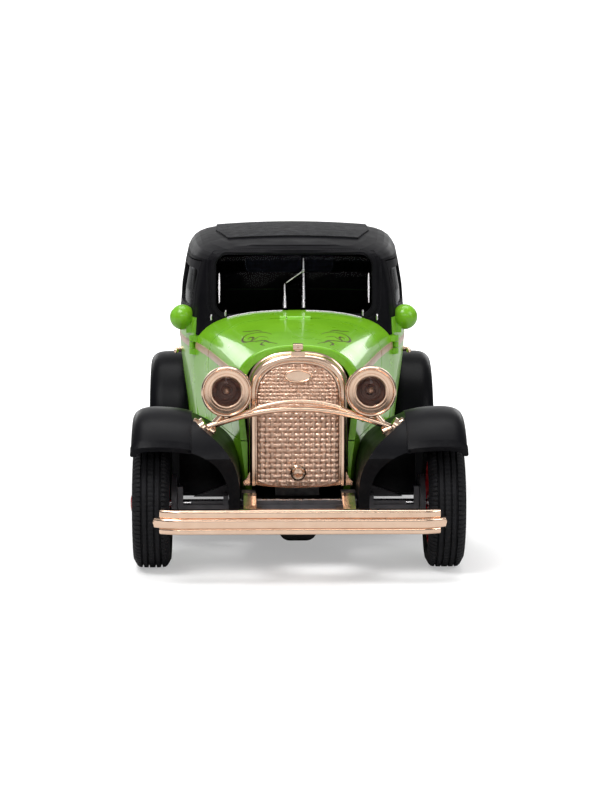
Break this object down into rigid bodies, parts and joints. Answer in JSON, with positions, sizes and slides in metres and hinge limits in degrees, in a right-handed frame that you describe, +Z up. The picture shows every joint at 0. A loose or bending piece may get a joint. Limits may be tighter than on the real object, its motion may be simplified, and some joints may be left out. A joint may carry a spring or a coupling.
{
  "type": "diecast collector car",
  "caption": "Diecast model of a 1930s closed car with opening hood and doors, rolling wheels, a tall plated radiator, arched headlight bar and stepped bumper.",
  "frame": {"origin": "on the ground under the middle of the car's overall box", "axes": "the car faces -Y, +Y towards its rear bumper, +X its left side, +Z up"},
  "size_m": [0.0628, 0.15, 0.0593],
  "materials": {
    "body_paint": "gloss lime green paint",
    "roof_paint": "satin black",
    "roof_vinyl": "grained satin black",
    "fender_paint": "gloss black paint",
    "plated_trim": "rose gold plating",
    "plated_mesh": "rose gold plating, knurled",
    "reflector": "brown",
    "lens_glass": "clear",
    "window_glass": "clear",
    "mirror_glass": "polished",
    "tyre_rubber": "matt black",
    "mat_rubber": "ribbed",
    "wheel_red": "gloss red paint",
    "steel": "bright",
    "grey_metal": "grey",
    "chassis_plastic": "fine texture",
    "interior_plastic": "fine texture",
    "control_plastic": "smooth",
    "seat_leather": "pleated",
    "engine_metal": "grey green enamel",
    "tail_lamp": "red lens in a plated bowl"
  },
  "bodies": {
    "car": {"body_shell": "body_paint", "brake_plates": "grey_metal", "chassis": "chassis_plastic", "chassis_screws": "steel", "cooling_fan": "engine_metal", "dashboard": "interior_plastic", "engine_block": "engine_metal", "fender_left": "fender_paint", "fender_right": "fender_paint", "front_axle_beam": "grey_metal", "front_bumper": "plated_trim", "front_seats": "seat_leather", "gear_lever": "control_plastic", "headlight_bar": "plated_trim", "headlight_bezels": "plated_trim", "headlight_bowls": "plated_trim", "headlight_lenses": "lens_glass", "headlight_reflectors": "reflector", "hinge_pins": "steel", "interior_tub": "interior_plastic", "radiator_badge": "plated_trim", "radiator_cap": "plated_trim", "radiator_grille": "plated_mesh", "radiator_shell": "plated_trim", "rear_bumper": "plated_trim", "rear_seat": "seat_leather", "rear_windows": "window_glass", "roof_insert": "roof_vinyl", "roof_shell": "roof_paint", "running_board_mats": "mat_rubber", "spare_tyre": "tyre_rubber", "spare_wheel": "wheel_red", "steering_wheel": "control_plastic", "tail_lights": "tail_lamp", "windscreen": "window_glass", "wiper": "steel"},
    "front_wheels": {"front_axle": "steel", "tyre_front_left": "tyre_rubber", "tyre_front_right": "tyre_rubber", "wheel_front_left": "wheel_red", "wheel_front_right": "wheel_red"},
    "rear_wheels": {"rear_axle": "steel", "tyre_rear_left": "tyre_rubber", "tyre_rear_right": "tyre_rubber", "wheel_rear_left": "wheel_red", "wheel_rear_right": "wheel_red"},
    "hood_panel": {"hood": "body_paint"},
    "door_left": {"door_panel_left": "body_paint", "door_frame_left": "roof_paint", "door_glass_left": "window_glass", "door_handle_left": "plated_trim", "mirror_left": "body_paint", "mirror_glass_left": "mirror_glass"},
    "door_right": {"door_panel_right": "body_paint", "door_frame_right": "roof_paint", "door_glass_right": "window_glass", "door_handle_right": "plated_trim", "mirror_right": "body_paint", "mirror_glass_right": "mirror_glass"}
  },
  "joints": [
    {"name": "front_wheels_spin", "type": "hinge", "parent": "car", "child": "front_wheels", "pos_m": [0, -0.055, 0.012], "axis": [1, 0, 0], "continuous": true},
    {"name": "rear_wheels_spin", "type": "hinge", "parent": "car", "child": "rear_wheels", "pos_m": [0, 0.039, 0.012], "axis": [1, 0, 0], "continuous": true},
    {"name": "hood_hinge", "type": "hinge", "parent": "car", "child": "hood_panel", "pos_m": [0, -0.018, 0.04275], "axis": [-1, 0, 0], "range_deg": [0, 42]},
    {"name": "door_left_hinge", "type": "hinge", "parent": "car", "child": "door_left", "pos_m": [0.02085, -0.00532, 0.0364], "axis": [0, 0, -1], "range_deg": [0, 60]},
    {"name": "door_right_hinge", "type": "hinge", "parent": "car", "child": "door_right", "pos_m": [-0.02085, -0.00532, 0.0364], "axis": [0, 0, 1], "range_deg": [0, 60]}
  ]
}
